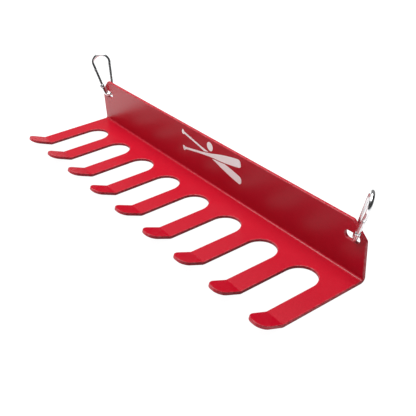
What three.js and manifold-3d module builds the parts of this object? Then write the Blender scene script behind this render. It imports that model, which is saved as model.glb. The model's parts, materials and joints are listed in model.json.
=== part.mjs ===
// A fence-hung bat rack: one bent steel sheet whose shelf is cut into nine prongs with eight
// round-ended slots between them, and a spring snap hook through an oblong slot at each end.
// Millimetres, +Z up. X runs along the rack, the prongs point to -Y, and the origin is on the
// underside of the shelf, at mid length and midway between the rear face and the slot ends.
import * as THREE from "three";
import { mergeVertices } from "three/addons/utils/BufferGeometryUtils.js";
import Module from "manifold-3d";

const wasm = await Module();
wasm.setup();

// ---------- driving dimensions: the bracket ----------
const SHEET = 3.5; // coated thickness of the steel sheet
const PRONG_COUNT = 9;
const PRONG_PITCH = 62;
const PRONG_WIDTH = 24;
const WEB_DEPTH = 28; // rear face to the round ends of the slots
const BACK_HEIGHT = 65.5; // underside of the shelf to the top edge of the back plate
const BACK_BEND_RADIUS = 2.5; // inside radius of the right-angle bend
const TIP_LINE = 106; // rear face to the line where the prongs turn up
const TIP_LENGTH = 28; // turned-up length beyond that line
const TIP_ANGLE = THREE.MathUtils.degToRad(23);
const TIP_BEND_RADIUS = 4; // inside radius of the turned-up bend
const TIP_CORNER_RADIUS = 10.6;
const CHAMFER_WIDTH = 17.5; // cut-off top corners of the back plate
const CHAMFER_HEIGHT = 17;
const CHAMFER_SOFTENING = 4; // radius where a chamfer meets the edges
const OBLONG_LENGTH = 20; // oblong slot that a snap hook passes through
const OBLONG_HEIGHT = 9;
const OBLONG_INSET = 17.5; // centre of the oblong slot to the end of the rack
const OBLONG_Z = 46;

// ---------- driving dimensions: the snap hooks ----------
const WIRE = 4.6; // diameter of the round bar
const LARGE_RADIUS = 12; // centre-line radius of the wide end
const SMALL_RADIUS = 6.4; // centre-line radius of the narrow end
const ARC_DISTANCE = 39.2; // between the centres of the two end arcs
const HINGE_V = 7; // height of the gate's rivet above the centre of the narrow end
const NOSE_V = 32.2; // height where the bar stops and the gate begins
const HOOK_INSET = 16; // where the bar passes the back plate, from the end of the rack
const HOOK_Z = 45.25;
const HOOK_TWIST = THREE.MathUtils.degToRad(50); // between the hook's plane and the back plate
const HOOK_LEAN = THREE.MathUtils.degToRad(18); // how far a hook leans outwards
const TONGUE = 2; // thickness of the flats at both ends of the bar
const EYE_RADIUS = 2.9;
const RIVET_RADIUS = 0.8;
const RIVET_HEAD_RADIUS = 1.7;
const RIVET_HEAD = 0.5;
const LATCH_PIN_RADIUS = 0.6;
const LATCH_PIN_DROP = 2; // latch pin below the top of the gate
const NOSE_TONGUE_LENGTH = 4.2;
const SPRING_BORE_RADIUS = 1.25;
const SPRING_BORE_END = 16; // distance of the bore's blind end from the rivet
const PLUNGER_RADIUS = 1.0;
const PLUNGER_LENGTH = 4.5;
const SPRING_RADIUS = 0.8; // centre-line radius of the coil
const SPRING_WIRE = 0.35;
const SPRING_TURNS = 6;
const GAP = 0.3; // clearance between pieces

// ---------- derived dimensions ----------
const LENGTH = (PRONG_COUNT - 1) * PRONG_PITCH + PRONG_WIDTH;
const SLOT_RADIUS = (PRONG_PITCH - PRONG_WIDTH) / 2;
const REAR_Y = WEB_DEPTH / 2;
const SLOT_END_Y = REAR_Y - WEB_DEPTH;
const TIP_LINE_Y = REAR_Y - TIP_LINE;
const TAPER = Math.asin((LARGE_RADIUS - SMALL_RADIUS) / ARC_DISTANCE);
const HINGE_U = -(SMALL_RADIUS / Math.cos(TAPER) + HINGE_V * Math.tan(TAPER));
const NOSE_LEG = (NOSE_V - HINGE_V) / Math.cos(TAPER); // rivet to the end of the full bar
const GATE_LENGTH = NOSE_LEG - GAP;
const PIN_AT = GATE_LENGTH - LATCH_PIN_DROP;
const CUT = 5; // how far cutting shapes pass the material

const STEEL_RED = new THREE.MeshStandardMaterial({ color: 0xb4061e, roughness: 0.45, metalness: 0.1 });
const CHROME = new THREE.MeshStandardMaterial({ color: 0xd2d4d8, roughness: 0.12, metalness: 1 });
const RIVET_STEEL = new THREE.MeshStandardMaterial({ color: 0xa8abb0, roughness: 0.3, metalness: 1 });
const SPRING_STEEL = new THREE.MeshStandardMaterial({ color: 0x8e9299, roughness: 0.35, metalness: 1 });

// ---------- solids ----------
function solid(geometry) {
  const bare = geometry.clone();
  bare.deleteAttribute("normal");
  bare.deleteAttribute("uv");
  const merged = mergeVertices(bare, 1e-4);
  const vertProperties = new Float32Array(merged.attributes.position.array);
  const triVerts = new Uint32Array(merged.index.array);
  return new wasm.Manifold(new wasm.Mesh({ numProp: 3, vertProperties, triVerts }));
}

function geometryOf(manifold) {
  const { vertProperties, triVerts } = manifold.getMesh();
  const geometry = new THREE.BufferGeometry();
  geometry.setAttribute("position", new THREE.BufferAttribute(new Float32Array(vertProperties), 3));
  geometry.setIndex(new THREE.BufferAttribute(new Uint32Array(triVerts), 1));
  geometry.computeVertexNormals();
  return geometry;
}

function outline(points) {
  return new THREE.Shape(points.map(([a, b]) => new THREE.Vector2(a, b)));
}

// Points on an arc about (a, b), angles in radians, both ends included.
function arc(a, b, radius, from, to, steps) {
  return Array.from({ length: steps + 1 }, (_, i) => {
    const angle = from + ((to - from) * i) / steps;
    return [a + radius * Math.cos(angle), b + radius * Math.sin(angle)];
  });
}

// A prism: the shape's first axis, its second axis and the depth follow the columns of a frame.
function prism(shape, depth, xAxis, yAxis, origin) {
  const zAxis = new THREE.Vector3().crossVectors(xAxis, yAxis);
  const geometry = new THREE.ExtrudeGeometry(shape, { depth, bevelEnabled: false });
  geometry.applyMatrix4(new THREE.Matrix4().makeBasis(xAxis, yAxis, zAxis));
  geometry.translate(origin.x, origin.y, origin.z);
  return geometry;
}

const X = new THREE.Vector3(1, 0, 0);
const Y = new THREE.Vector3(0, 1, 0);
const Z = new THREE.Vector3(0, 0, 1);

// ---------- the bracket ----------

// The sheet seen from its end, as [y, z] points: back plate, bend, shelf and turned-up tip.
function sheetProfile() {
  const outer = BACK_BEND_RADIUS + SHEET;
  const bendY = REAR_Y - outer;
  const tipOuter = TIP_BEND_RADIUS + SHEET;
  const tangent = tipOuter * Math.tan(TIP_ANGLE / 2);
  const tipBendY = TIP_LINE_Y + tangent;
  const along = [-Math.cos(TIP_ANGLE), Math.sin(TIP_ANGLE)];
  const normal = [Math.sin(TIP_ANGLE), Math.cos(TIP_ANGLE)];
  const endLow = [TIP_LINE_Y + TIP_LENGTH * along[0], TIP_LENGTH * along[1]];
  const endHigh = [endLow[0] + SHEET * normal[0], endLow[1] + SHEET * normal[1]];
  const down = -Math.PI / 2;
  return [
    ...arc(bendY, outer, outer, 0, down, 10),
    ...arc(tipBendY, tipOuter, tipOuter, down, down - TIP_ANGLE, 6),
    endLow,
    endHigh,
    ...arc(tipBendY, tipOuter, TIP_BEND_RADIUS, down - TIP_ANGLE, down, 6),
    ...arc(bendY, outer, BACK_BEND_RADIUS, down, 0, 8),
    [REAR_Y - SHEET, BACK_HEIGHT],
    [REAR_Y, BACK_HEIGHT],
  ];
}

function batSlot(centreX) {
  const roundY = SLOT_END_Y - SLOT_RADIUS;
  const openY = TIP_LINE_Y - TIP_LENGTH - CUT;
  const points = [
    [centreX - SLOT_RADIUS, openY],
    [centreX + SLOT_RADIUS, openY],
    ...arc(centreX, roundY, SLOT_RADIUS, 0, Math.PI, 32),
  ];
  const depth = BACK_HEIGHT / 2;
  return prism(outline(points), depth, X, Y, new THREE.Vector3(0, 0, -CUT));
}

// What is cut away to round the two corners of a prong's tip.
function tipCorners(centreX) {
  const half = PRONG_WIDTH / 2;
  const r = TIP_CORNER_RADIUS;
  const start = TIP_LENGTH - r;
  const points = [
    [-half - CUT, start],
    ...arc(-half + r, start, r, Math.PI, Math.PI / 2, 12),
    ...arc(half - r, start, r, Math.PI / 2, 0, 12),
    [half + CUT, start],
    [half + CUT, TIP_LENGTH + CUT],
    [-half - CUT, TIP_LENGTH + CUT],
  ];
  const along = new THREE.Vector3(0, -Math.cos(TIP_ANGLE), Math.sin(TIP_ANGLE));
  const depth = SHEET + 2 * CUT;
  const up = new THREE.Vector3().crossVectors(X, along).multiplyScalar(-(SHEET + CUT));
  return prism(outline(points), depth, X, along, up.add(new THREE.Vector3(centreX, TIP_LINE_Y, 0)));
}

// What is cut off a top corner of the back plate; side is -1 at the left end and 1 at the right.
function cornerChamfer(side) {
  const end = LENGTH / 2;
  const slope = Math.atan2(CHAMFER_HEIGHT, CHAMFER_WIDTH);
  const lowTangent = CHAMFER_SOFTENING * Math.tan((Math.PI / 2 - slope) / 2);
  const highTangent = CHAMFER_SOFTENING * Math.tan(slope / 2);
  const lowZ = BACK_HEIGHT - CHAMFER_HEIGHT - lowTangent;
  const highX = end - CHAMFER_WIDTH - highTangent;
  const low = arc(end - CHAMFER_SOFTENING, lowZ, CHAMFER_SOFTENING, 0, Math.PI / 2 - slope, 4);
  const high = arc(highX, BACK_HEIGHT - CHAMFER_SOFTENING, CHAMFER_SOFTENING, Math.PI / 2 - slope, Math.PI / 2, 4);
  const points = [
    ...low,
    ...high,
    [highX, BACK_HEIGHT + CUT],
    [end + CUT, BACK_HEIGHT + CUT],
    [end + CUT, lowZ],
  ];
  const placed = outline(points.map(([x, z]) => [side * x, z]));
  return prism(placed, SHEET + 2 * CUT, X, Z, new THREE.Vector3(0, REAR_Y + CUT, 0));
}

function oblongSlot(side) {
  const r = OBLONG_HEIGHT / 2;
  const straight = OBLONG_LENGTH / 2 - r;
  const x = side * (LENGTH / 2 - OBLONG_INSET);
  const points = [
    ...arc(x + straight, OBLONG_Z, r, -Math.PI / 2, Math.PI / 2, 16),
    ...arc(x - straight, OBLONG_Z, r, Math.PI / 2, (3 * Math.PI) / 2, 16),
  ];
  return prism(outline(points), SHEET + 2 * CUT, X, Z, new THREE.Vector3(0, REAR_Y + CUT, 0));
}

function prongCentre(i) {
  return (i - (PRONG_COUNT - 1) / 2) * PRONG_PITCH;
}

function bracketGeometry() {
  const start = new THREE.Vector3(-LENGTH / 2, 0, 0);
  let bracket = solid(prism(outline(sheetProfile()), LENGTH, Y, Z, start));
  for (let i = 0; i < PRONG_COUNT; i++) {
    bracket = bracket.subtract(solid(tipCorners(prongCentre(i))));
  }
  for (let i = 0; i < PRONG_COUNT - 1; i++) {
    bracket = bracket.subtract(solid(batSlot(prongCentre(i) + PRONG_PITCH / 2)));
  }
  for (const side of [-1, 1]) {
    bracket = bracket.subtract(solid(cornerChamfer(side))).subtract(solid(oblongSlot(side)));
  }
  return geometryOf(bracket);
}

// ---------- the snap hook, in its own plane ----------
// u runs across the hook, away from the gate; v runs from the narrow end to the wide end; n is
// square to both. The centre of the narrow end's arc is the origin.

// The bar's centre line: up from the rivet would be the gate, so it goes down and round.
class BarPath extends THREE.Curve {
  constructor() {
    super();
    const leg = ARC_DISTANCE * Math.cos(TAPER);
    const hingeLeg = (HINGE_V + SMALL_RADIUS * Math.sin(TAPER)) / Math.cos(TAPER);
    const noseLeg = leg - hingeLeg - NOSE_LEG;
    this.lengths = [
      hingeLeg,
      SMALL_RADIUS * (Math.PI - 2 * TAPER),
      leg,
      LARGE_RADIUS * (Math.PI + 2 * TAPER),
      noseLeg,
    ];
    this.total = this.lengths.reduce((sum, length) => sum + length, 0);
  }

  getPoint(t, target = new THREE.Vector3()) {
    let s = t * this.total;
    let piece = 0;
    while (piece < 4 && s > this.lengths[piece]) {
      s -= this.lengths[piece];
      piece++;
    }
    const slope = [Math.sin(TAPER), Math.cos(TAPER)];
    if (piece === 0) {
      return target.set(HINGE_U + s * slope[0], HINGE_V - s * slope[1], 0);
    }
    if (piece === 1) {
      const angle = Math.PI + TAPER + s / SMALL_RADIUS;
      return target.set(SMALL_RADIUS * Math.cos(angle), SMALL_RADIUS * Math.sin(angle), 0);
    }
    if (piece === 2) {
      const u = SMALL_RADIUS * Math.cos(TAPER) + s * slope[0];
      return target.set(u, -SMALL_RADIUS * Math.sin(TAPER) + s * slope[1], 0);
    }
    if (piece === 3) {
      const angle = -TAPER + s / LARGE_RADIUS;
      const v = ARC_DISTANCE + LARGE_RADIUS * Math.sin(angle);
      return target.set(LARGE_RADIUS * Math.cos(angle), v, 0);
    }
    const u = -LARGE_RADIUS * Math.cos(TAPER) + s * slope[0];
    return target.set(u, ARC_DISTANCE - LARGE_RADIUS * Math.sin(TAPER) - s * slope[1], 0);
  }
}

class CoilPath extends THREE.Curve {
  constructor(radius, height, turns) {
    super();
    this.radius = radius;
    this.height = height;
    this.turns = turns;
  }

  getPoint(t, target = new THREE.Vector3()) {
    const angle = 2 * Math.PI * this.turns * t;
    return target.set(this.radius * Math.cos(angle), this.height * t, this.radius * Math.sin(angle));
  }
}

function rodAlong(path, radius, sides, steps) {
  const section = outline(arc(0, 0, radius, 0, 2 * Math.PI * (1 - 1 / sides), sides - 1));
  return new THREE.ExtrudeGeometry(section, { steps, bevelEnabled: false, extrudePath: path });
}

// A round bar across the hook, centred on a point of the gate's line.
function crossBar(radius, width, along, sides = 24) {
  const bar = new THREE.CylinderGeometry(radius, radius, width, sides);
  bar.rotateX(Math.PI / 2);
  bar.translate(0, along, 0);
  return bar;
}

function block(u0, u1, v0, v1, n0, n1) {
  const box = new THREE.BoxGeometry(u1 - u0, v1 - v0, n1 - n0);
  return box.translate((u0 + u1) / 2, (v0 + v1) / 2, (n0 + n1) / 2);
}

// The gate's own line starts at the rivet and follows the tapered leg up to the nose.
function onGateLine(geometry) {
  return geometry.rotateZ(TAPER).translate(HINGE_U, HINGE_V, 0);
}

function barGeometry() {
  let bar = solid(rodAlong(new BarPath(), WIRE / 2, 16, 78));
  const reach = WIRE;
  const earRoom = EYE_RADIUS + GAP;
  for (const side of [-1, 1]) {
    const flat = crossBar(earRoom, reach, 0, 32).translate(0, 0, (side * (TONGUE + reach)) / 2);
    bar = bar.subtract(solid(onGateLine(flat)));
  }
  const eye = crossBar(EYE_RADIUS, TONGUE, 0, 32);
  const rivetRoom = crossBar(RIVET_RADIUS + 0.2, WIRE, 0);
  bar = bar.add(solid(onGateLine(eye))).subtract(solid(onGateLine(rivetRoom)));
  const halfWidth = WIRE / 2 - 0.4;
  const tongue = block(-halfWidth, halfWidth, NOSE_LEG - NOSE_TONGUE_LENGTH, NOSE_LEG + 1, -TONGUE / 2, TONGUE / 2);
  const pinRoom = LATCH_PIN_RADIUS + GAP;
  const notch = block(-pinRoom, WIRE, PIN_AT - pinRoom, PIN_AT + pinRoom, -TONGUE, TONGUE);
  const hookedTongue = solid(onGateLine(tongue)).subtract(solid(onGateLine(notch)));
  return geometryOf(bar.add(hookedTongue));
}

function gateGeometry() {
  const rod = new THREE.CylinderGeometry(WIRE / 2, WIRE / 2, GATE_LENGTH, 24);
  rod.translate(0, GATE_LENGTH / 2, 0);
  let gate = solid(rod).add(solid(crossBar(EYE_RADIUS, WIRE, 0, 32)));
  const room = TONGUE / 2 + GAP;
  const eyeRoom = EYE_RADIUS + GAP;
  const noseRoom = GATE_LENGTH - NOSE_TONGUE_LENGTH - 2 * GAP;
  gate = gate.subtract(solid(crossBar(eyeRoom, 2 * room, 0, 32)));
  gate = gate.subtract(solid(block(-WIRE, WIRE, noseRoom, GATE_LENGTH + CUT, -room, room)));
  gate = gate.subtract(solid(crossBar(RIVET_RADIUS + 0.2, 2 * WIRE, 0)));
  gate = gate.subtract(solid(crossBar(LATCH_PIN_RADIUS + 0.15, 2 * WIRE, PIN_AT)));
  const bore = new THREE.CylinderGeometry(SPRING_BORE_RADIUS, SPRING_BORE_RADIUS, SPRING_BORE_END, 16);
  gate = gate.subtract(solid(bore.translate(0, SPRING_BORE_END / 2, 0)));
  return onGateLine(geometryOf(gate));
}

function rivetGeometry() {
  const headAt = WIRE / 2 + 0.1;
  const end = headAt + RIVET_HEAD;
  const profile = [
    [0, -end],
    [RIVET_HEAD_RADIUS - 0.5, -end],
    [RIVET_HEAD_RADIUS, -headAt],
    [RIVET_RADIUS, -headAt],
    [RIVET_RADIUS, headAt],
    [RIVET_HEAD_RADIUS, headAt],
    [RIVET_HEAD_RADIUS - 0.5, end],
    [0, end],
  ];
  const rivet = new THREE.LatheGeometry(profile.map(([r, h]) => new THREE.Vector2(r, h)), 24);
  return onGateLine(rivet.rotateX(Math.PI / 2));
}

function latchPinGeometry() {
  return onGateLine(crossBar(LATCH_PIN_RADIUS, WIRE - 0.9, PIN_AT, 16));
}

function plungerGeometry() {
  const r = PLUNGER_RADIUS;
  const dome = arc(0, r, r, -Math.PI / 2, 0, 6);
  const profile = [...dome, [r, PLUNGER_LENGTH], [0, PLUNGER_LENGTH]];
  const plunger = new THREE.LatheGeometry(profile.map(([x, y]) => new THREE.Vector2(Math.max(x, 0), y)), 20);
  return onGateLine(plunger.translate(0, EYE_RADIUS + GAP, 0));
}

function springGeometry() {
  const start = EYE_RADIUS + GAP + PLUNGER_LENGTH + GAP + SPRING_WIRE / 2;
  const height = SPRING_BORE_END - GAP - SPRING_WIRE / 2 - start;
  const coil = new CoilPath(SPRING_RADIUS, height, SPRING_TURNS);
  return onGateLine(rodAlong(coil, SPRING_WIRE / 2, 6, SPRING_TURNS * 14).translate(0, start, 0));
}

// ---------- assembly ----------
function named(name, geometry, material) {
  const mesh = new THREE.Mesh(geometry, material);
  mesh.name = name;
  return mesh;
}

// One hook; side is -1 at the left end of the rack and 1 at the right end.
function snapHook(label, side) {
  const hook = new THREE.Group();
  hook.add(named(`${label}_hook_bar`, barGeometry(), CHROME));
  hook.add(named(`${label}_hook_gate`, gateGeometry(), CHROME));
  hook.add(named(`${label}_hook_rivet`, rivetGeometry(), RIVET_STEEL));
  hook.add(named(`${label}_hook_latch_pin`, latchPinGeometry(), RIVET_STEEL));
  hook.add(named(`${label}_hook_plunger`, plungerGeometry(), RIVET_STEEL));
  hook.add(named(`${label}_hook_spring`, springGeometry(), SPRING_STEEL));
  const across = new THREE.Vector3(-side * Math.cos(HOOK_TWIST), Math.sin(HOOK_TWIST), 0);
  const square = new THREE.Vector3().crossVectors(across, Z);
  hook.quaternion.setFromRotationMatrix(new THREE.Matrix4().makeBasis(across, Z, square));
  hook.position.set(0, 0, SMALL_RADIUS);
  const swing = new THREE.Group();
  swing.position.set(side * (LENGTH / 2 - HOOK_INSET), REAR_Y - SHEET / 2, HOOK_Z);
  swing.rotation.y = side * HOOK_LEAN;
  swing.add(hook);
  return swing;
}

const batRack = new THREE.Group();
batRack.add(named("bracket", bracketGeometry(), STEEL_RED));
batRack.add(snapHook("left", -1));
batRack.add(snapHook("right", 1));

export default batRack;
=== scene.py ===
"""The looks of a fence-hung bat rack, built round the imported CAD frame.

Metres, +Z up, in the frame's own axes: X along the rack, prongs towards -Y, the shelf's underside
at Z = 0. The rack is one folded sheet with rounded, powder-coated edges; each snap hook is a
bright plated bar with a sprung gate.
"""
import json
import math

import bmesh
import bpy
from mathutils import Matrix, Vector, geometry


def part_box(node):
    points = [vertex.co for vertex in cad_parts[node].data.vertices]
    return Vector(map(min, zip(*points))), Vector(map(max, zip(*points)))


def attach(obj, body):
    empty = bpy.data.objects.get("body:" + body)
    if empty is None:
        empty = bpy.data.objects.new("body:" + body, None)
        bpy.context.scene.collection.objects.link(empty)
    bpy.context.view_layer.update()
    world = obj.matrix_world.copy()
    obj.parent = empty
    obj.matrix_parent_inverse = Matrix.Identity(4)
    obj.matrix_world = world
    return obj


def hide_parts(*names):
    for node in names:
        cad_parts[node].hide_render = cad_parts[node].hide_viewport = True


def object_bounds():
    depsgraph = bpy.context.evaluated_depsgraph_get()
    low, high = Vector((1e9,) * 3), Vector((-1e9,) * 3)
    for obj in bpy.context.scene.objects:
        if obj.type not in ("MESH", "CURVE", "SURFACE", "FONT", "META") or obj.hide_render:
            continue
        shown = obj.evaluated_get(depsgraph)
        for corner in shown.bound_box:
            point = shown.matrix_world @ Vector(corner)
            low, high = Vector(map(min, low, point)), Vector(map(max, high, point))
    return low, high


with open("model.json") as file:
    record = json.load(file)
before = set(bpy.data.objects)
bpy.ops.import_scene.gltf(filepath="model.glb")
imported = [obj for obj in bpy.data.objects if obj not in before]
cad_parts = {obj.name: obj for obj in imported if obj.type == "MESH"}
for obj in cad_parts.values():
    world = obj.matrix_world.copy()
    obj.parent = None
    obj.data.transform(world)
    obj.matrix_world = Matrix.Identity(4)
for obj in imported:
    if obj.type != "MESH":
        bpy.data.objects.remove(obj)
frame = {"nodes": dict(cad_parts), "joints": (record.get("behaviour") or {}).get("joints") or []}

cad_low, cad_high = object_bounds()
MM = 0.001

# ---------- the sheet, from the frame and its own driving sizes ----------
SHEET_LOW, SHEET_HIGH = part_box("bracket")
HALF_LENGTH = (SHEET_HIGH.x - SHEET_LOW.x) / 2
REAR_Y = SHEET_HIGH.y
BACK_HEIGHT = SHEET_HIGH.z
SHEET = 3.5 * MM
PRONG_COUNT = 9
PRONG_WIDTH = 24 * MM
PRONG_PITCH = (2 * HALF_LENGTH - PRONG_WIDTH) / (PRONG_COUNT - 1)
SLOT_RADIUS = (PRONG_PITCH - PRONG_WIDTH) / 2
WEB_DEPTH = 28 * MM
BACK_BEND = 2.5 * MM
TIP_BEND = 4 * MM
TIP_LINE = 106 * MM
TIP_LENGTH = 28 * MM
TIP_ANGLE = math.radians(23)
TIP_CORNER = 10.6 * MM
CHAMFER_WIDTH = 17.5 * MM
CHAMFER_HEIGHT = 17 * MM
CHAMFER_SOFTENING = 4 * MM
OBLONG_LENGTH = 20 * MM
OBLONG_HEIGHT = 9 * MM
OBLONG_INSET = 17.5 * MM
OBLONG_Z = 46 * MM
EDGE_ROUND = 0.55 * MM  # radius of the coated edges
EDGE_STEPS = 4
LONGEST_RUN = 12 * MM  # longest edge along an outline's straight runs
EDGE_BAND = 1.4 * MM  # width of the band beside an edge that carries the wear

BEND_PAINTED_HIGHLIGHT = 0.45  # painted highlight: how strongly the paler edge colour is laid along the inner side of the shelf's bend, where a sharp edge has 1
TIP_PAINTED_HIGHLIGHT = 0.45  # the same painted highlight for the tips' bends

# ---------- the printed mark on the back plate: a ball over two crossed bats ----------
MARK_X = 10 * MM
MARK_Z = 43.5 * MM
BAT_LENGTH = 122 * MM
BAT_HALF_WIDTH = 5.6 * MM
BAT_TILT = math.radians(11)
BAT_GAP = 1.3 * MM  # coat left bare round the upper bat where the two cross
BAT_OUTLINE = (
    (0.0, 0.0), (0.006, 0.5), (0.025, 0.62), (0.045, 0.34), (0.3, 0.3), (0.5, 0.46),
    (0.7, 0.84), (0.86, 0.98), (0.955, 0.96), (0.99, 0.66), (1.0, 0.0),
)  # share of the length from the knob, share of the half width
BALL_RADIUS = 6 * MM
BALL_RISE = 11.5 * MM
INK_BLUR = 0.12 * MM

# ---------- the snap hooks ----------
WIRE = 2.3 * MM  # radius of the bar
LARGE_RADIUS = 12 * MM
SMALL_RADIUS = 6.4 * MM
ARC_DISTANCE = 39.2 * MM
HINGE_V = 7 * MM
NOSE_V = 32.2 * MM
HOOK_TWIST = math.radians(50)
HOOK_LEAN = math.radians(18)
TONGUE = 2 * MM
EYE_RADIUS = 2.9 * MM
RIVET_RADIUS = 0.8 * MM
RIVET_HEAD_RADIUS = 1.7 * MM
RIVET_HEAD = 0.5 * MM
PIN_RADIUS = 0.6 * MM
PIN_DROP = 2 * MM
NOSE_TONGUE = 4.2 * MM
BORE_RADIUS = 1.25 * MM
BORE_END = 16 * MM
GAP = 0.3 * MM
EYE_PROUD = 0.05 * MM  # how far the gate's eye stands past its round rod on each side
SHORTEST_EDGE = 0.002 * MM  # shorter edges are dissolved after cutting and joining

TAPER = math.asin((LARGE_RADIUS - SMALL_RADIUS) / ARC_DISTANCE)
HINGE_U = -(SMALL_RADIUS / math.cos(TAPER) + HINGE_V * math.tan(TAPER))
NOSE_LEG = (NOSE_V - HINGE_V) / math.cos(TAPER)
GATE_LENGTH = NOSE_LEG - GAP
PIN_AT = GATE_LENGTH - PIN_DROP

# ---------- the camera ----------
AZIMUTH = math.radians(56.08)
ELEVATION = math.radians(31.58)
ROLL = math.radians(-3.454)
DISTANCE = 0.8044
LENS = 58.75
AIM = Vector((0.0424, -0.0192, -0.0040))


def camera_axes():
    back = Vector((
        math.sin(AZIMUTH) * math.cos(ELEVATION),
        -math.cos(AZIMUTH) * math.cos(ELEVATION),
        math.sin(ELEVATION),
    ))
    level = Vector((math.cos(AZIMUTH), math.sin(AZIMUTH), 0))
    upright = back.cross(level)
    right = level * math.cos(ROLL) + upright * math.sin(ROLL)
    up = upright * math.cos(ROLL) - level * math.sin(ROLL)
    return right, up, back


def make_camera():
    right, up, back = camera_axes()
    data = bpy.data.cameras.new("camera")
    data.sensor_width = 36
    data.lens = LENS
    data.clip_start = 0.01
    data.clip_end = 50
    camera = bpy.data.objects.new("camera", data)
    bpy.context.scene.collection.objects.link(camera)
    turn = Matrix((right, up, back)).transposed().to_4x4()
    camera.matrix_world = Matrix.Translation(AIM + back * DISTANCE) @ turn
    bpy.context.scene.camera = camera


# ---------- the painted shade on the floor under the rack ---
SHADE_PATCH_HALF = Vector((0.25, 0.075))
SHADE_PATCH_FORWARD = 0.05
SHADE_PATCH_BLUR = 0.02

# ---------- the pale wall behind and to the left ----------
WALL_RADIUS = 3.0
WALL_HEIGHT = 3.2
WALL_START = math.radians(80)
WALL_END = math.radians(190)
WALL_GLOW = 0.24

# ---------- the floor, the world and the overhead light ----------
FLOOR_HALF = 6.0
FLOOR_DROP = 0.2 * MM  # below the rack, so that the two surfaces don't fight
FLOOR_GLOW = 1.15
FLOOR_GLOW_SHARE = 0.86  # of what the camera sees of the floor
WORLD_STRENGTH = 0.05
LIGHT_PLACE = (-0.5, -0.24, 1.68)
LIGHT_AIM = (0, 0, 0)
LIGHT_SIZE = 1.6
LIGHT_POWER = 60


# ---------- material helpers ----------
class Nodes:
    """A short way to write a node tree: every call adds a node and returns it."""

    def __init__(self, name):
        self.material = bpy.data.materials.new(name)
        self.material.use_nodes = True
        self.tree = self.material.node_tree
        self.shader = self.tree.nodes["Principled BSDF"]
        self.place = self.tree.nodes.new("ShaderNodeTexCoord").outputs["Object"]

    def link(self, source, socket):
        self.tree.links.new(source, socket)

    def put(self, socket, value):
        if hasattr(value, "is_linked"):
            self.link(value, socket)
        else:
            socket.default_value = value

    def scaled(self, factors):
        node = self.tree.nodes.new("ShaderNodeMapping")
        node.inputs["Scale"].default_value = factors
        self.link(self.place, node.inputs["Vector"])
        return node.outputs["Vector"]

    def noise(self, scale, detail=2.0, roughness=0.5, vector=None):
        node = self.tree.nodes.new("ShaderNodeTexNoise")
        self.link(vector or self.place, node.inputs["Vector"])
        node.inputs["Scale"].default_value = scale
        node.inputs["Detail"].default_value = detail
        node.inputs["Roughness"].default_value = roughness
        return node.outputs["Fac"]

    def cells(self, scale):
        node = self.tree.nodes.new("ShaderNodeTexVoronoi")
        node.feature = "SMOOTH_F1"
        self.link(self.place, node.inputs["Vector"])
        node.inputs["Scale"].default_value = scale
        return node.outputs["Distance"]

    def math(self, operation, a, b=0.0, clamp=False):
        node = self.tree.nodes.new("ShaderNodeMath")
        node.operation = operation
        node.use_clamp = clamp
        self.put(node.inputs[0], a)
        self.put(node.inputs[1], b)
        return node.outputs[0]

    def range(self, value, low, high, to_low=0.0, to_high=1.0):
        node = self.tree.nodes.new("ShaderNodeMapRange")
        self.put(node.inputs["Value"], value)
        node.inputs["From Min"].default_value = low
        node.inputs["From Max"].default_value = high
        node.inputs["To Min"].default_value = to_low
        node.inputs["To Max"].default_value = to_high
        return node.outputs["Result"]

    def mix(self, factor, a, b):
        node = self.tree.nodes.new("ShaderNodeMix")
        node.data_type = "RGBA"
        self.put(node.inputs["Factor"], factor)
        self.put(node.inputs[6], a)
        self.put(node.inputs[7], b)
        return node.outputs[2]

    def curve(self, value, points):
        """The value taken through a smooth curve; both run from 0 to 1."""
        node = self.tree.nodes.new("ShaderNodeFloatCurve")
        line = node.mapping.curves[0]
        line.points[0].location = points[0]
        line.points[1].location = points[-1]
        for place in points[1:-1]:
            line.points.new(*place)
        node.mapping.update()
        self.put(node.inputs["Value"], value)
        return node.outputs["Value"]

    def axes(self):
        node = self.tree.nodes.new("ShaderNodeSeparateXYZ")
        self.link(self.place, node.inputs[0])
        return node.outputs

    def attribute(self, name):
        node = self.tree.nodes.new("ShaderNodeAttribute")
        node.attribute_name = name
        return node.outputs["Fac"]

    def bump(self, height, depth, strength=1.0):
        node = self.tree.nodes.new("ShaderNodeBump")
        node.inputs["Strength"].default_value = strength
        node.inputs["Distance"].default_value = depth
        self.link(height, node.inputs["Height"])
        self.link(node.outputs["Normal"], self.shader.inputs["Normal"])

    def set(self, socket, value):
        self.put(self.shader.inputs[socket], value)


def bat_shape(n, x, z, tilt, swell=0.0):
    """1 inside a bat tilted by that angle, knob to the left, swollen by that many metres."""
    u = n.math("ADD", n.math("MULTIPLY", x, math.cos(tilt)), n.math("MULTIPLY", z, math.sin(tilt)))
    v = n.math("SUBTRACT", n.math("MULTIPLY", z, math.cos(tilt)), n.math("MULTIPLY", x, math.sin(tilt)))
    along = n.range(u, -BAT_LENGTH / 2, BAT_LENGTH / 2)
    half = n.math("MULTIPLY", n.curve(along, BAT_OUTLINE), BAT_HALF_WIDTH)
    inside = n.math("SUBTRACT", n.math("ADD", half, swell), n.math("ABSOLUTE", v))
    return n.range(inside, 0, 2 * INK_BLUR)


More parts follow.
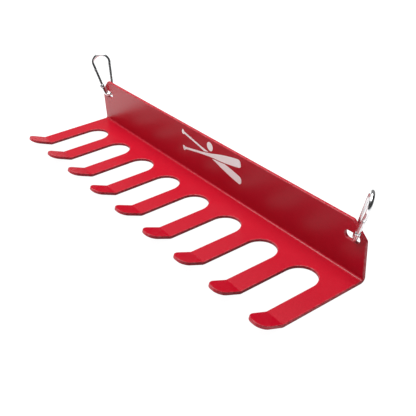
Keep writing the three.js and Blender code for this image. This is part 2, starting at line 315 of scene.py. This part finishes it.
def printed_mark(n):
    """1 where the white ink lies on the front of the back plate."""
    across, through, upward = n.axes()
    x = n.math("SUBTRACT", across, MARK_X)
    z = n.math("SUBTRACT", upward, MARK_Z)
    bare = n.math("SUBTRACT", 1.0, bat_shape(n, x, z, BAT_TILT, BAT_GAP))
    lower = n.math("MULTIPLY", bat_shape(n, x, z, -BAT_TILT), bare)
    bats = n.math("MAXIMUM", bat_shape(n, x, z, BAT_TILT), lower)
    rise = n.math("SUBTRACT", z, BALL_RISE)
    far = n.math("SQRT", n.math("ADD", n.math("MULTIPLY", x, x), n.math("MULTIPLY", rise, rise)))
    ball = n.range(n.math("SUBTRACT", BALL_RADIUS, far), 0, 2 * INK_BLUR)
    off_face = n.math("ABSOLUTE", n.math("SUBTRACT", through, REAR_Y - SHEET))
    front = n.math("LESS_THAN", off_face, 0.3 * MM)
    return n.math("MULTIPLY", n.math("MAXIMUM", bats, ball), front)


def powder_coat():
    """Satin red powder coat: fine orange peel, thinner and paler on the sharp edges, and the same paler
    colour painted along the inner bends as a highlight.
    """
    n = Nodes("powder_coat")
    mark = printed_mark(n)
    grain = n.noise(800, 4.0, 0.7)
    peel = n.cells(620)
    drift = n.noise(22, 2.0)
    edge = n.attribute("edge")
    # the edge value carries real wear on the rims and a painted highlight along the inner bends
    edge_wear_and_bend_highlight = n.math("MULTIPLY", edge, n.range(n.noise(260, 3.0), 0.35, 0.7))
    body = n.mix(n.range(grain, 0.3, 0.7), (0.38, 0.0004, 0.0095, 1), (0.49, 0.001, 0.0165, 1))
    body = n.mix(n.range(drift, 0.3, 0.7, 0.0, 0.35), body, (0.41, 0.0008, 0.016, 1))
    coat = n.mix(n.math("MULTIPLY", edge_wear_and_bend_highlight, 0.9), body, (0.46, 0.07, 0.085, 1))
    ink = n.mix(grain, (0.97, 0.96, 0.96, 1), (0.92, 0.91, 0.91, 1))
    n.set("Base Color", n.mix(mark, coat, ink))
    rough = n.range(grain, 0.3, 0.7, 0.29, 0.38)
    n.set("Roughness", n.math("ADD", rough, n.math("MULTIPLY", mark, 0.15)))
    n.set("Specular IOR Level", 0.34)
    height = n.math("ADD", n.math("MULTIPLY", grain, 0.45), peel)
    n.bump(height, 0.06 * MM, 0.55)
    return n.material


def bright_plate(name, tone, low, high):
    """Bright plated steel: faint drawing lines along the bar, smudges and a few pits."""
    n = Nodes(name)
    smudge = n.noise(160, 3.0, 0.6)
    lines = n.noise(60, 2.0, 0.7, n.scaled((40, 40, 2)))
    pits = n.range(n.noise(900, 1.0), 0.62, 0.7)
    dark = tuple(0.86 * part for part in tone) + (1,)
    n.set("Base Color", n.mix(n.range(smudge, 0.35, 0.7), tone + (1,), dark))
    n.set("Metallic", 1.0)
    rough = n.range(smudge, 0.3, 0.75, low, high)
    n.set("Roughness", n.math("ADD", rough, n.math("MULTIPLY", pits, 0.1)))
    height = n.math("SUBTRACT", n.math("MULTIPLY", lines, 0.35), n.math("MULTIPLY", pits, 0.4))
    n.bump(height, 0.01 * MM, 0.3)
    return n.material


def plain_steel(name, tone, low, high):
    """Unplated steel: fine turning marks and a slightly stained colour."""
    n = Nodes(name)
    marks = n.noise(90, 2.0, 0.6, n.scaled((30, 30, 30)))
    stain = n.noise(400, 3.0, 0.6)
    dark = tuple(0.7 * part for part in tone) + (1,)
    n.set("Base Color", n.mix(n.range(stain, 0.35, 0.75), tone + (1,), dark))
    n.set("Metallic", 1.0)
    n.set("Roughness", n.range(marks, 0.3, 0.7, low, high))
    n.bump(marks, 0.008 * MM, 0.35)
    return n.material


def stage_white():
    """A white floor, pure white to the camera, with a grey patch of painted shade under the rack for
    all other rays.
    """
    n = Nodes("stage_white")
    shade = n.noise(3.0, 2.0)
    across, through, _ = n.axes()
    past_end = n.math("SUBTRACT", n.math("ABSOLUTE", across), SHADE_PATCH_HALF.x)
    past_side = n.math("SUBTRACT", n.math("ABSOLUTE", n.math("ADD", through, SHADE_PATCH_FORWARD)), SHADE_PATCH_HALF.y)
    outside = n.range(n.math("MAXIMUM", past_end, past_side), 0, SHADE_PATCH_BLUR)
    white = n.mix(shade, (0.93, 0.93, 0.93, 1), (0.95, 0.95, 0.95, 1))
    # painted shade: the floor's colour is grey under the rack for all but camera rays
    n.set("Base Color", n.mix(outside, (0.36, 0.36, 0.36, 1), white))
    n.set("Roughness", 0.9)
    n.set("Specular IOR Level", 0.1)
    path = n.tree.nodes.new("ShaderNodeLightPath")
    glow = n.tree.nodes.new("ShaderNodeEmission")
    glow.inputs["Strength"].default_value = FLOOR_GLOW
    blend = n.tree.nodes.new("ShaderNodeMixShader")
    n.link(n.math("MULTIPLY", path.outputs["Is Camera Ray"], FLOOR_GLOW_SHARE), blend.inputs[0])
    n.link(n.shader.outputs[0], blend.inputs[1])
    n.link(glow.outputs[0], blend.inputs[2])
    n.link(blend.outputs[0], n.tree.nodes["Material Output"].inputs["Surface"])
    return n.material


# ---------- mesh helpers ----------
def new_object(name, mesh, material):
    piece = bpy.data.objects.new(name, mesh)
    bpy.context.scene.collection.objects.link(piece)
    mesh.materials.append(material)
    return piece


def arc(cx, cy, radius, start, end, steps):
    turn = [start + (end - start) * i / steps for i in range(steps + 1)]
    return [Vector((cx + radius * math.cos(a), cy + radius * math.sin(a))) for a in turn]


def face_outwards(body):
    """Turns every face of a closed body outwards: made consistent first, then judged by its volume."""
    bmesh.ops.recalc_face_normals(body, faces=body.faces)
    if body.calc_volume(signed=True) < 0:
        bmesh.ops.reverse_faces(body, faces=body.faces)


def spaced(points, longest):
    """The closed outline with its long straight runs divided."""
    result = []
    for a, b in zip(points, points[1:] + points[:1]):
        parts = max(1, math.ceil((b - a).length / longest))
        result += [a.lerp(b, i / parts) for i in range(parts)]
    return result


def inset_normals(points):
    """For each outline point, the miter direction into the sheet, which lies on the outline's left."""
    normals = []
    for before, here, after in zip(points[-1:] + points[:-1], points, points[1:] + points[:1]):
        one = (here - before).normalized()
        two = (after - here).normalized()
        side = Vector((-one.y - two.y, one.x + two.x)).normalized()
        cosine = side.dot(Vector((-one.y, one.x)))
        normals.append(side / max(cosine, 0.5))
    return normals


# ---------- the sheet ----------
# The flat blank has x along the rack and s down the back plate and out along the prongs. Folding
# takes (x, s, n), with n through the thickness from the rear and under side, to the frame.
OUTER_BEND = BACK_BEND + SHEET
TIP_OUTER = TIP_BEND + SHEET
TIP_TANGENT = TIP_OUTER * math.tan(TIP_ANGLE / 2)
TIP_BEND_Y = REAR_Y - TIP_LINE + TIP_TANGENT
BACK_RUN = BACK_HEIGHT - OUTER_BEND
BEND_RUN = (BACK_BEND + SHEET / 2) * math.pi / 2
SHELF_RUN = REAR_Y - OUTER_BEND - TIP_BEND_Y
TIP_BEND_RUN = (TIP_BEND + SHEET / 2) * TIP_ANGLE
TIP_RUN = TIP_LENGTH - TIP_TANGENT
S_BEND = BACK_RUN
S_SHELF = S_BEND + BEND_RUN
S_TIP_BEND = S_SHELF + SHELF_RUN
S_TIP = S_TIP_BEND + TIP_BEND_RUN
S_END = S_TIP + TIP_RUN


def fold(x, s, n):
    if s <= S_BEND:
        return Vector((x, REAR_Y - n, BACK_HEIGHT - s))
    if s <= S_SHELF:
        turn = (s - S_BEND) / BEND_RUN * math.pi / 2
        radius = OUTER_BEND - n
        y = REAR_Y - OUTER_BEND + radius * math.cos(turn)
        return Vector((x, y, OUTER_BEND - radius * math.sin(turn)))
    if s <= S_TIP_BEND:
        return Vector((x, REAR_Y - OUTER_BEND - (s - S_SHELF), n))
    turn = min((s - S_TIP_BEND) / TIP_BEND_RUN, 1.0) * TIP_ANGLE
    radius = TIP_OUTER - n
    y = TIP_BEND_Y - radius * math.sin(turn)
    z = TIP_OUTER - radius * math.cos(turn)
    past = max(s - S_TIP, 0.0)
    return Vector((x, y - past * math.cos(turn), z + past * math.sin(turn)))


def top_corner(side):
    """The softened chamfer at one end of the top edge, from the top edge down to the end."""
    slope = math.atan2(CHAMFER_HEIGHT, CHAMFER_WIDTH)
    r = CHAMFER_SOFTENING
    top_x = HALF_LENGTH - CHAMFER_WIDTH - r * math.tan(slope / 2)
    low_s = CHAMFER_HEIGHT + r * math.tan((math.pi / 2 - slope) / 2)
    quarter = math.pi / 2
    points = arc(top_x, r, r, -quarter, slope - quarter, 8)
    points += arc(HALF_LENGTH - r, low_s, r, slope - quarter, 0, 8)
    return [Vector((side * p.x, p.y)) for p in points]


def blank_outline():
    """The comb's outline, counterclockwise with x to the right and s upwards."""
    points = top_corner(1)
    slot_s = S_SHELF + (REAR_Y - OUTER_BEND) - (REAR_Y - WEB_DEPTH) + SLOT_RADIUS
    for i in reversed(range(PRONG_COUNT)):
        centre = (i - (PRONG_COUNT - 1) / 2) * PRONG_PITCH
        half = PRONG_WIDTH / 2
        end = S_END - TIP_CORNER
        points += arc(centre + half - TIP_CORNER, end, TIP_CORNER, 0, math.pi / 2, 16)
        points += arc(centre - half + TIP_CORNER, end, TIP_CORNER, math.pi / 2, math.pi, 16)
        if i:
            points += arc(centre - PRONG_PITCH / 2, slot_s, SLOT_RADIUS, 0, -math.pi, 48)
    return points + list(reversed(top_corner(-1)))


def oblong_outline(side):
    """The hole for one snap hook, clockwise, so that the sheet lies on its left."""
    r = OBLONG_HEIGHT / 2
    straight = OBLONG_LENGTH / 2 - r
    x = side * (HALF_LENGTH - OBLONG_INSET)
    s = BACK_HEIGHT - OBLONG_Z
    quarter = math.pi / 2
    points = arc(x + straight, s, r, quarter, -quarter, 24)
    return points + arc(x - straight, s, r, -quarter, -3 * quarter, 24)


def edge_rings():
    """(distance into the material, height through the sheet, edge value) across a rounded rim."""
    rings = [(EDGE_BAND, 0.0, 0.0)]
    for i in range(EDGE_STEPS + 1):
        turn = math.pi / 2 * i / EDGE_STEPS
        rings.append((EDGE_ROUND * (1 - math.sin(turn)), EDGE_ROUND * (1 - math.cos(turn)), 1.0))
    rings += [(d, SHEET - n, e) for d, n, e in reversed(rings)]
    return rings


def flat_blank():
    """The blank as a closed solid with rounded rims, still flat."""
    outlines = (blank_outline(), oblong_outline(-1), oblong_outline(1))
    loops = [spaced(points, LONGEST_RUN) for points in outlines]
    blank = bmesh.new()
    edge = blank.verts.layers.float.new("edge")
    rims = []
    for points in loops:
        inward = inset_normals(points)
        rings = []
        for distance, n, value in edge_rings():
            ring = [blank.verts.new((*(p + m * distance), n)) for p, m in zip(points, inward)]
            for vertex in ring:
                vertex[edge] = value
            rings.append(ring)
        for low, high in zip(rings, rings[1:]):
            for i in range(len(points)):
                blank.faces.new((low[i - 1], low[i], high[i], high[i - 1]))
        rims.append(rings)
    for level in (0, -1):
        corners = [vertex for rings in rims for vertex in rings[level]]
        flat = [[vertex.co.copy() for vertex in rings[level]] for rings in rims]
        for triangle in geometry.tessellate_polygon(flat):
            blank.faces.new([corners[i] for i in triangle])
    bmesh.ops.recalc_face_normals(blank, faces=blank.faces)
    return blank


def cut_for_bends(blank):
    """Cuts the blank across at every line where folding bends or divides it."""
    lines = [S_BEND + BEND_RUN * i / 12 for i in range(13)]
    lines += [S_TIP_BEND + TIP_BEND_RUN * i / 8 for i in range(9)]
    lines += [S_BEND * i / 5 for i in range(1, 5)]
    lines += [S_SHELF + SHELF_RUN * i / 8 for i in range(1, 8)]
    for s in lines:
        parts = list(blank.verts) + list(blank.edges) + list(blank.faces)
        bmesh.ops.bisect_plane(blank, geom=parts, dist=1e-7, plane_co=(0, s, 0), plane_no=(0, 1, 0))


def paint_bend_highlights(blank):
    """Paints a highlight along the inner side of the two bends: the paler edge colour is laid there, as
    on the edges.
    """
    edge = blank.verts.layers.float["edge"]
    for vertex in blank.verts:
        s = vertex.co.y
        if vertex.co.z < SHEET - EDGE_ROUND:
            continue
        across_bend = (s - S_BEND) / BEND_RUN
        across_tip = (s - S_TIP_BEND) / TIP_BEND_RUN
        # painted highlight: the paler colour rises across each inner bend and falls again
        if 0 < across_bend < 1:
            vertex[edge] = max(vertex[edge], BEND_PAINTED_HIGHLIGHT * math.sin(math.pi * across_bend))
        if 0 < across_tip < 1:
            vertex[edge] = max(vertex[edge], TIP_PAINTED_HIGHLIGHT * math.sin(math.pi * across_tip))


def make_sheet(material):
    blank = flat_blank()
    cut_for_bends(blank)
    paint_bend_highlights(blank)
    for vertex in blank.verts:
        vertex.co = fold(*vertex.co)
    face_outwards(blank)
    mesh = bpy.data.meshes.new("sheet")
    blank.to_mesh(mesh)
    blank.free()
    mesh.polygons.foreach_set("use_smooth", [True] * len(mesh.polygons))
    sheet = new_object("folded_sheet", mesh, material)
    weighted = sheet.modifiers.new("flat_faces", "WEIGHTED_NORMAL")
    weighted.weight = 100
    weighted.keep_sharp = True
    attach(sheet, "bracket")
    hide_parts("bracket")
    return sheet


# ---------- the snap hook in its own plane ----------
# x runs across the hook away from the gate, y from the narrow to the wide end, z square to both.
def bar_length_parts():
    leg = ARC_DISTANCE * math.cos(TAPER)
    hinge_leg = (HINGE_V + SMALL_RADIUS * math.sin(TAPER)) / math.cos(TAPER)
    nose_leg = leg - hinge_leg - NOSE_LEG
    small = SMALL_RADIUS * (math.pi - 2 * TAPER)
    large = LARGE_RADIUS * (math.pi + 2 * TAPER)
    return [hinge_leg, small, leg, large, nose_leg]


def bar_point(s):
    """A point of the bar's centre line and the direction of travel, s metres from the rivet."""
    parts = bar_length_parts()
    piece = 0
    while piece < 4 and s > parts[piece]:
        s -= parts[piece]
        piece += 1
    rise = Vector((math.sin(TAPER), math.cos(TAPER), 0))
    fall = Vector((math.sin(TAPER), -math.cos(TAPER), 0))
    if piece == 0:
        return Vector((HINGE_U, HINGE_V, 0)) + fall * s, fall
    if piece == 1:
        turn = math.pi + TAPER + s / SMALL_RADIUS
        out = Vector((math.cos(turn), math.sin(turn), 0))
        return out * SMALL_RADIUS, Vector((-out.y, out.x, 0))
    if piece == 2:
        start = Vector((math.cos(-TAPER), math.sin(-TAPER), 0)) * SMALL_RADIUS
        return start + rise * s, rise
    centre = Vector((0, ARC_DISTANCE, 0))
    if piece == 3:
        turn = -TAPER + s / LARGE_RADIUS
        out = Vector((math.cos(turn), math.sin(turn), 0))
        return centre + out * LARGE_RADIUS, Vector((-out.y, out.x, 0))
    start = centre + Vector((math.cos(math.pi + TAPER), math.sin(math.pi + TAPER), 0)) * LARGE_RADIUS
    return start + fall * s, fall


def swept(rings, sides):
    """A closed bmesh through rings of (centre, across, out, half width, half height)."""
    body = bmesh.new()
    loops = []
    for centre, across, out, wide, high in rings:
        loop = []
        for i in range(sides):
            turn = 2 * math.pi * i / sides
            offset = across * wide * math.cos(turn) + out * high * math.sin(turn)
            loop.append(body.verts.new(centre + offset))
        loops.append(loop)
    for low, high in zip(loops, loops[1:]):
        for i in range(sides):
            body.faces.new((low[i - 1], low[i], high[i], high[i - 1]))
    body.faces.new(loops[0])
    body.faces.new(loops[-1])
    face_outwards(body)
    return body


def to_mesh(name, body):
    mesh = bpy.data.meshes.new(name)
    body.to_mesh(mesh)
    body.free()
    return mesh


def lathe(profile, sides, axis):
    """A closed solid from (radius, distance along axis) points that start and end on the axis."""
    body = bmesh.new()
    side = Vector((1, 0, 0))
    other = axis.cross(side)
    rings = []
    for radius, along in profile[1:-1]:
        ring = []
        for i in range(sides):
            turn = 2 * math.pi * i / sides
            flat = side * math.cos(turn) + other * math.sin(turn)
            ring.append(body.verts.new(flat * radius + axis * along))
        rings.append(ring)
    for low, high in zip(rings, rings[1:]):
        for i in range(sides):
            body.faces.new((low[i - 1], low[i], high[i], high[i - 1]))
    for ring, (_, along) in ((rings[0], profile[0]), (rings[-1], profile[-1])):
        tip = body.verts.new(axis * along)
        for i in range(sides):
            body.faces.new((ring[i - 1], ring[i], tip))
    face_outwards(body)
    return body


ACROSS_HOOK = Vector((0, 0, 1))
UP_GATE = Vector((0, 1, 0))
RIM_STEPS = 4


def drum(radius, half, along=0.0, soft=0.0, sides=48):
    """A round bar across the hook on the gate's line, with its rims rounded by soft."""
    rim = [(radius, half)]
    if soft:
        turns = [math.pi / 2 * (1 - i / RIM_STEPS) for i in range(RIM_STEPS + 1)]
        rim = [(radius - soft + soft * math.sin(t), half - soft + soft * math.cos(t)) for t in turns]
    profile = [(0, -half)] + [(r, -h) for r, h in reversed(rim)] + rim + [(0, half)]
    body = lathe(profile, sides, ACROSS_HOOK)
    bmesh.ops.translate(body, verts=body.verts, vec=(0, along, 0))
    return body


def block(x0, x1, y0, y1, z0, z1):
    body = bmesh.new()
    size = Matrix.Diagonal((x1 - x0, y1 - y0, z1 - z0, 1))
    middle = Matrix.Translation(((x0 + x1) / 2, (y0 + y1) / 2, (z0 + z1) / 2))
    bmesh.ops.create_cube(body, size=1, matrix=middle @ size)
    return body


GATE_LINE = Matrix.Translation((HINGE_U, HINGE_V, 0)) @ Matrix.Rotation(TAPER, 4, "Z")


def combine(name, body, steps, place):
    """Cuts and joins: steps are (operation, bmesh), made exactly and then placed."""
    whole = bpy.data.objects.new(name, to_mesh(name, body))
    bpy.context.scene.collection.objects.link(whole)
    tools = []
    for i, (operation, tool_body) in enumerate(steps):
        tool = bpy.data.objects.new(f"{name}_tool_{i}", to_mesh(f"{name}_tool_{i}", tool_body))
        bpy.context.scene.collection.objects.link(tool)
        cut = whole.modifiers.new(f"step_{i}", "BOOLEAN")
        cut.operation = operation
        cut.solver = "EXACT"
        cut.object = tool
        tools.append(tool)
    bpy.context.view_layer.update()
    seen = whole.evaluated_get(bpy.context.evaluated_depsgraph_get())
    result = bmesh.new()
    result.from_mesh(seen.to_mesh())
    bmesh.ops.dissolve_degenerate(result, dist=SHORTEST_EDGE, edges=result.edges)
    mesh = to_mesh(name, result)
    for gone in tools + [whole]:
        bpy.data.objects.remove(gone)
    mesh.transform(place)
    mesh.polygons.foreach_set("use_smooth", [True] * len(mesh.polygons))
    mesh.set_sharp_from_angle(angle=math.radians(32))
    return mesh


def bar_body():
    """The plain round bar along its whole centre line, before the ear and the nose are shaped."""
    total = sum(bar_length_parts())
    rings = []
    steps = 220
    for i in range(steps + 1):
        centre, along = bar_point(total * i / steps)
        rings.append((centre, along.cross(ACROSS_HOOK), ACROSS_HOOK, WIRE, WIRE))
    return swept(rings, 40)


def bar_mesh(place):
    ear_room = EYE_RADIUS + GAP
    reach = 2 * WIRE
    steps = []
    for side in (-1, 1):
        flat = drum(ear_room, reach / 2)
        bmesh.ops.translate(flat, verts=flat.verts, vec=(0, 0, side * (TONGUE + reach) / 2))
        steps.append(("DIFFERENCE", flat))
    steps.append(("UNION", drum(EYE_RADIUS, TONGUE / 2, 0, 0.25 * MM, 64)))
    steps.append(("DIFFERENCE", drum(RIVET_RADIUS + 0.2 * MM, reach)))
    nose_half = WIRE - 0.4 * MM
    nose_low = NOSE_LEG - NOSE_TONGUE
    room = PIN_RADIUS + GAP
    nose = block(-nose_half, nose_half, nose_low, NOSE_LEG + MM, -TONGUE / 2, TONGUE / 2)
    steps.append(("UNION", nose))
    steps.append(("DIFFERENCE", block(-room, reach, PIN_AT - room, PIN_AT + room, -TONGUE, TONGUE)))
    body = bar_body()
    inverse = GATE_LINE.inverted()
    bmesh.ops.transform(body, matrix=inverse, verts=body.verts)
    return combine("bar", body, steps, place @ GATE_LINE)


def gate_mesh(place):
    soft = 0.35 * MM
    rod = [(0, 0), (WIRE, 0), (WIRE, GATE_LENGTH - soft), (WIRE - soft, GATE_LENGTH), (0, GATE_LENGTH)]
    half_slot = TONGUE / 2 + GAP
    ear_room = EYE_RADIUS + GAP
    nose_room = GATE_LENGTH - NOSE_TONGUE - 2 * GAP
    bore = [(0, -MM), (BORE_RADIUS, -MM), (BORE_RADIUS, BORE_END), (0, BORE_END)]
    steps = [
        ("UNION", drum(EYE_RADIUS, WIRE + EYE_PROUD, 0, 0.4 * MM, 64)),
        ("DIFFERENCE", drum(ear_room, half_slot, 0, 0, 64)),
        ("DIFFERENCE", block(-2 * WIRE, 2 * WIRE, nose_room, GATE_LENGTH + MM, -half_slot, half_slot)),
        ("DIFFERENCE", drum(RIVET_RADIUS + 0.2 * MM, 2 * WIRE)),
        ("DIFFERENCE", drum(PIN_RADIUS + 0.15 * MM, 2 * WIRE, PIN_AT)),
        ("DIFFERENCE", lathe(bore, 32, UP_GATE)),
    ]
    return combine("gate", lathe(rod, 48, UP_GATE), steps, place @ GATE_LINE)


def rivet_mesh(place):
    """A shaft with a domed head at each side."""
    seat = WIRE + 0.1 * MM
    dome = [(RIVET_HEAD_RADIUS * math.cos(t), seat + RIVET_HEAD * math.sin(t))
            for t in (math.pi / 2 * i / 8 for i in range(8))]
    half = [(RIVET_RADIUS, seat)] + dome
    profile = [(0, -seat - RIVET_HEAD)] + [(r, -h) for r, h in reversed(half)] + half
    profile.append((0, seat + RIVET_HEAD))
    return combine("rivet", lathe(profile, 40, ACROSS_HOOK), [], place @ GATE_LINE)


def pin_mesh(place):
    pin = drum(PIN_RADIUS, WIRE - 0.45 * MM, PIN_AT, 0.12 * MM, 32)
    return combine("pin", pin, [], place @ GATE_LINE)


def hook_place(side):
    """From the hook's own plane to the frame: the hinge axis of its swing gives where it is."""
    label = "left" if side < 0 else "right"
    swing = next(j for j in frame["joints"] if j["name"] == f"{label}_hook_swing")
    across = Vector((-side * math.cos(HOOK_TWIST), math.sin(HOOK_TWIST), 0))
    upright = Vector((0, 0, 1))
    square = across.cross(upright)
    turn = Matrix((across, upright, square)).transposed().to_4x4()
    lean = Matrix.Rotation(side * HOOK_LEAN, 4, "Y")
    return Matrix.Translation(swing["pos_m"]) @ lean @ Matrix.Translation((0, 0, SMALL_RADIUS)) @ turn


def make_hook(side, finishes):
    label = "left" if side < 0 else "right"
    place = hook_place(side)
    pieces = (
        ("bar", bar_mesh(place), f"{label}_hook", f"{label}_hook_bar", "hook_bar"),
        ("gate", gate_mesh(place), f"{label}_gate", f"{label}_hook_gate", "hook_gate"),
        ("rivet", rivet_mesh(place), f"{label}_gate", f"{label}_hook_rivet", "rivet"),
        ("latch_pin", pin_mesh(place), f"{label}_gate", f"{label}_hook_latch_pin", "latch_pin"),
    )
    for name, mesh, body, node, slot in pieces:
        piece = new_object(f"{label}_{name}_finished", mesh, finishes[slot])
        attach(piece, body)
        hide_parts(node)
    for name, slot in (("plunger", "plunger"), ("spring", "spring")):
        kept = frame["nodes"][f"{label}_hook_{name}"]
        kept.data.materials.clear()
        kept.data.materials.append(finishes[slot])


# ---------- the studio ----------
def make_floor():
    mesh = bpy.data.meshes.new("floor")
    z = cad_low[2] - FLOOR_DROP
    signs = ((-1, -1), (1, -1), (1, 1), (-1, 1))
    corners = [(x * FLOOR_HALF, y * FLOOR_HALF, z) for x, y in signs]
    mesh.from_pydata(corners, [], [(0, 1, 2, 3)])
    new_object("floor", mesh, stage_white())


def backdrop_white():
    """The wall's own soft glow, a little uneven."""
    n = Nodes("backdrop_white")
    shade = n.noise(0.6, 2.0)
    glow = n.tree.nodes.new("ShaderNodeEmission")
    n.link(n.mix(shade, (0.9, 0.9, 0.9, 1), (1, 1, 1, 1)), glow.inputs["Color"])
    glow.inputs["Strength"].default_value = WALL_GLOW
    n.link(glow.outputs[0], n.tree.nodes["Material Output"].inputs["Surface"])
    return n.material


def make_backdrop():
    """A pale wall curving round the back and the left, which the coat and the plating reflect."""
    steps = 24
    mesh = bpy.data.meshes.new("backdrop")
    corners = []
    for i in range(steps + 1):
        turn = WALL_START + (WALL_END - WALL_START) * i / steps
        x, y = WALL_RADIUS * math.cos(turn), WALL_RADIUS * math.sin(turn)
        corners += [(x, y, 0), (x, y, WALL_HEIGHT)]
    faces = [(2 * i, 2 * i + 1, 2 * i + 3, 2 * i + 2) for i in range(steps)]
    mesh.from_pydata(corners, [], faces)
    wall = new_object("backdrop", mesh, backdrop_white())
    wall.visible_camera = False


def area_light(name, place, aim, size, power):
    data = bpy.data.lights.new(name, "AREA")
    data.shape = "RECTANGLE"
    data.size = size
    data.size_y = size
    data.energy = power
    light = bpy.data.objects.new(name, data)
    bpy.context.scene.collection.objects.link(light)
    direction = Vector(aim) - Vector(place)
    light.rotation_euler = direction.to_track_quat("-Z", "Y").to_euler()
    light.location = place


def make_world():
    """Dim all round for the object, and pale behind it for the camera."""
    world = bpy.data.worlds.new("studio")
    bpy.context.scene.world = world
    world.use_nodes = True
    tree = world.node_tree
    tree.nodes.clear()
    out = tree.nodes.new("ShaderNodeOutputWorld")
    mix = tree.nodes.new("ShaderNodeMixShader")
    path = tree.nodes.new("ShaderNodeLightPath")
    dim = tree.nodes.new("ShaderNodeBackground")
    pale = tree.nodes.new("ShaderNodeBackground")
    dim.inputs["Color"].default_value = (1, 1, 1, 1)
    dim.inputs["Strength"].default_value = WORLD_STRENGTH
    pale.inputs["Color"].default_value = (1, 1, 1, 1)
    tree.links.new(path.outputs["Is Camera Ray"], mix.inputs[0])
    tree.links.new(dim.outputs[0], mix.inputs[1])
    tree.links.new(pale.outputs[0], mix.inputs[2])
    tree.links.new(mix.outputs[0], out.inputs[0])


def make_studio():
    make_floor()
    make_backdrop()
    make_world()
    area_light("overhead", LIGHT_PLACE, LIGHT_AIM, LIGHT_SIZE, LIGHT_POWER)
    scene = bpy.context.scene
    scene.view_settings.view_transform = "Standard"
    scene.view_settings.look = "None"


# ---------- assembly ----------
make_camera()
make_studio()
make_sheet(powder_coat())
FINISHES = {
    "hook_bar": bright_plate("bright_bar", (0.84, 0.85, 0.86), 0.15, 0.23),
    "hook_gate": bright_plate("bright_gate", (0.82, 0.83, 0.84), 0.17, 0.25),
    "rivet": plain_steel("rivet_steel", (0.62, 0.62, 0.63), 0.22, 0.38),
    "latch_pin": plain_steel("pin_steel", (0.56, 0.56, 0.57), 0.25, 0.4),
    "plunger": plain_steel("plunger_steel", (0.5, 0.5, 0.51), 0.28, 0.42),
    "spring": plain_steel("spring_steel", (0.36, 0.36, 0.38), 0.3, 0.45),
}
for end in (-1, 1):
    make_hook(end, FINISHES)

bpy.context.view_layer.update()
